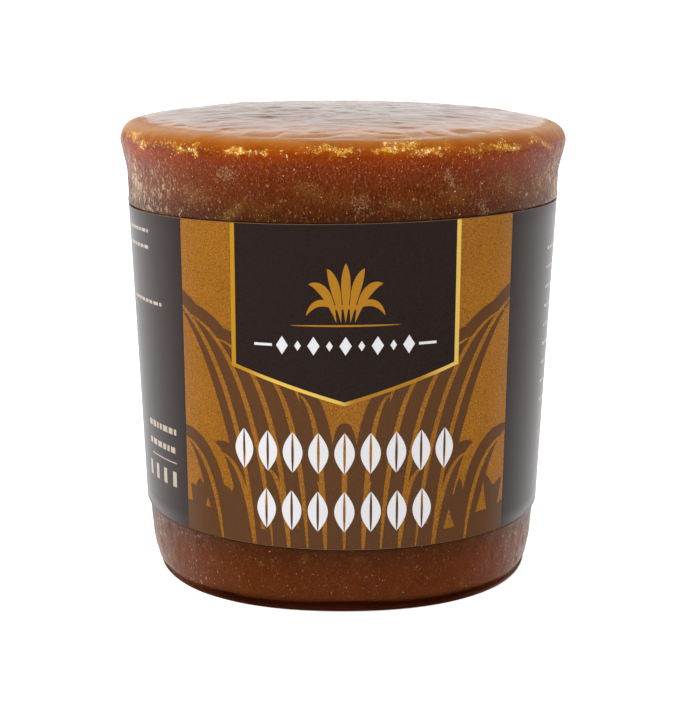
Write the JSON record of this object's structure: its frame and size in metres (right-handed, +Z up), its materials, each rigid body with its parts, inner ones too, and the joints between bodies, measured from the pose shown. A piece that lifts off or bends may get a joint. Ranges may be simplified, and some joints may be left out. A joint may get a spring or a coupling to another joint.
{
  "type": "jaggery block",
  "caption": "Cast block of cane sugar, wider towards its rolled rim, with a printed paper band glued round its side.",
  "frame": {"origin": "centre of the face that the block stands on", "axes": "+Z up through the block, -Y out of the front of the band"},
  "size_m": [0.08, 0.08, 0.0832],
  "materials": {
    "cast_sugar": "caramel brown cast sugar with a waxy skin, amber at the rim, with specks and patches of paler crystals",
    "printed_paper": "dark brown paper with a satin varnish and an ochre front panel"
  },
  "bodies": {
    "root": {"jaggery_block": "cast_sugar", "paper_band": "printed_paper"}
  },
  "joints": []
}
